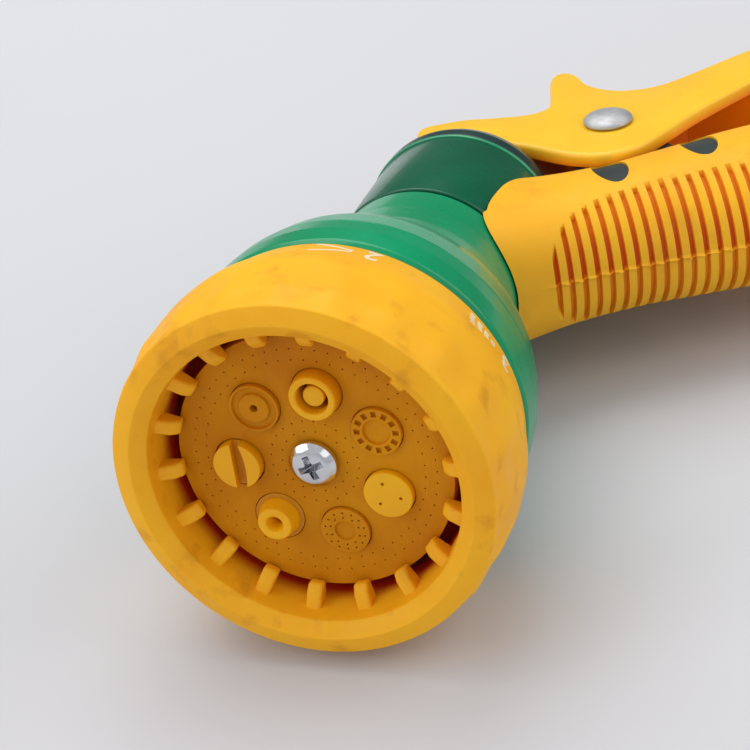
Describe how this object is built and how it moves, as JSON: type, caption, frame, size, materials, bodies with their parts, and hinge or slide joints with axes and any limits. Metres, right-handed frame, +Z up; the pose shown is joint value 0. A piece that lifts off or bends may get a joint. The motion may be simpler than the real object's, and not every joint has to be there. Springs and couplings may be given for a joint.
{
  "type": "hose spray nozzle",
  "caption": "Rear-lever garden hose spray nozzle with a turning pattern dial, flared body, ribbed grip and swivel hose coupling.",
  "frame": {"origin": "centre of the bounding box in plan, at the surface that the nozzle lies on", "axes": "+Z up from the surface through the nozzle's flank, spray direction about -Y, hose end towards +X"},
  "size_m": [0.1702, 0.1706, 0.061],
  "materials": {
    "soft_yellow": "soft-touch satin",
    "plate_yellow": "fine moulded grain",
    "outlet_yellow": "satin",
    "lever_yellow": "glossy, slightly translucent",
    "body_green": "glossy",
    "dark_green": "glossy",
    "dark_core": "fine moulded grain",
    "black_plastic": "satin",
    "black_rubber": "matte",
    "steel": "satin",
    "dark_metal": "dull grey-brown",
    "brass": "machined"
  },
  "bodies": {
    "body": {"barrel_housing": "dark_green", "bell_cover": "body_green", "rear_cap": "dark_core", "stem_oring": "black_rubber", "packing_nut": "black_plastic", "valve_seat": "brass", "valve_spring": "steel", "handle_core": "dark_core", "grip_sleeve": "soft_yellow", "pivot_rivet": "steel", "center_screw": "steel", "outlet_seal": "black_rubber", "detent_ball": "steel", "detent_spring": "steel"},
    "dial": {"bezel_ring": "soft_yellow", "face_plate": "plate_yellow", "dial_back_plate": "plate_yellow", "outlet_rings": "plate_yellow", "outlet_cone": "outlet_yellow", "cone_core": "outlet_yellow", "outlet_windows": "plate_yellow", "outlet_mist": "outlet_yellow", "outlet_shower": "plate_yellow", "outlet_jet": "outlet_yellow", "outlet_flat": "outlet_yellow"},
    "lever_arm": {"lever": "lever_yellow"},
    "stem": {"valve_stem": "brass", "valve_washer": "black_rubber", "stem_nut": "dark_metal"},
    "coupling": {"hose_coupling": "dark_core", "coupling_washer": "black_rubber", "filter_screen": "steel"}
  },
  "joints": [
    {"name": "dial_spin", "type": "hinge", "parent": "body", "child": "dial", "pos_m": [-0.05486, -0.07393, 0.03079], "axis": [-0.0022, -0.9906, 0.1365], "continuous": true},
    {"name": "lever_squeeze", "type": "hinge", "parent": "body", "child": "lever_arm", "pos_m": [-0.03166, 0.02271, 0.01821], "axis": [0.0314, -0.1365, -0.9901], "range_deg": [0, 18], "stiffness_Nm_per_rad": 1.5, "springref_deg": -20.05},
    {"name": "stem_pull", "type": "slide", "parent": "body", "child": "stem", "axis": [0.0022, 0.9906, -0.1365], "range_m": [0, 0.0084]},
    {"name": "coupling_spin", "type": "hinge", "parent": "body", "child": "coupling", "pos_m": [0.07743, 0.05831, 0.01676], "axis": [0.8752, 0.4822, -0.0387], "continuous": true}
  ],
  "couplings": [
    {"joint": "stem_pull", "follows": "lever_squeeze", "m_per_rad": 0.0264}
  ]
}
